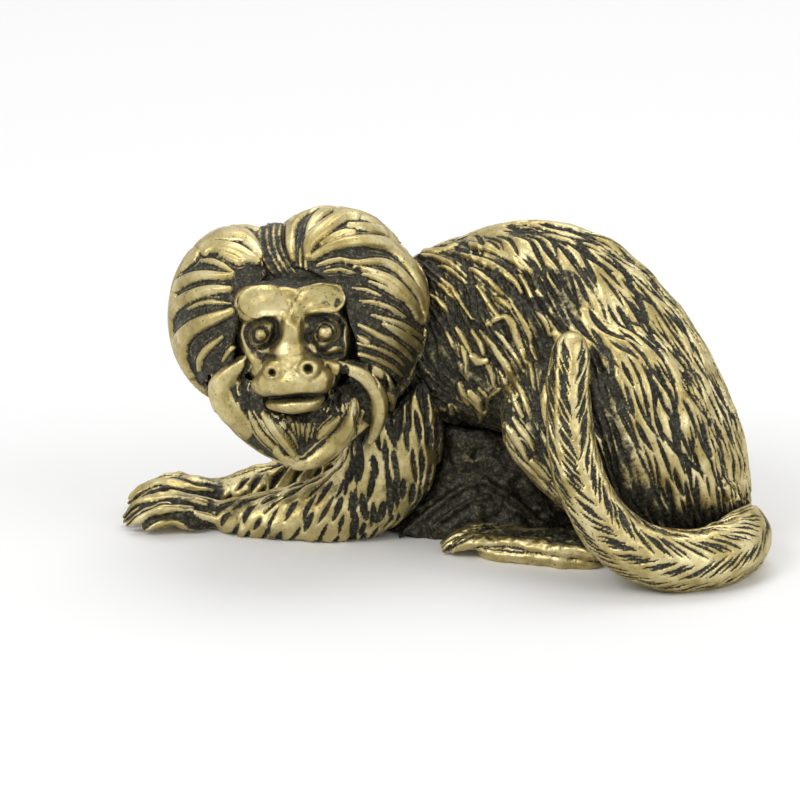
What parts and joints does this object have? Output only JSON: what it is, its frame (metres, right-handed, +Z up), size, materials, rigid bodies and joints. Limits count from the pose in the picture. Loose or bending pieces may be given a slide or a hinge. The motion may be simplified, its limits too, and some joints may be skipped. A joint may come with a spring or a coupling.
{
  "type": "animal figurine",
  "caption": "Crouching maned monkey figurine in antiqued cast brass, head turned over its left side, forearms stretched forward and tail curled along the flank",
  "frame": {"origin": "on the standing plane, under the middle of the figure's box", "axes": "+X towards the rump, -Y towards the side that the face looks to, +Z up"},
  "size_m": [0.043, 0.0252, 0.0225],
  "materials": {
    "antiqued_brass": "cast brass with a near-black patina left in the hollows and the raised fur, mane and face rubbed bright"
  },
  "bodies": {
    "root": {"torso": "antiqued_brass", "belly_web": "antiqued_brass", "left_haunch": "antiqued_brass", "right_haunch": "antiqued_brass", "left_foot": "antiqued_brass", "right_foot": "antiqued_brass", "left_arm": "antiqued_brass", "right_arm": "antiqued_brass", "left_hand": "antiqued_brass", "right_hand": "antiqued_brass", "tail": "antiqued_brass", "head": "antiqued_brass", "mane_left_lobe": "antiqued_brass", "mane_right_lobe": "antiqued_brass", "mane_nape": "antiqued_brass", "chin_ruff": "antiqued_brass"}
  },
  "joints": []
}
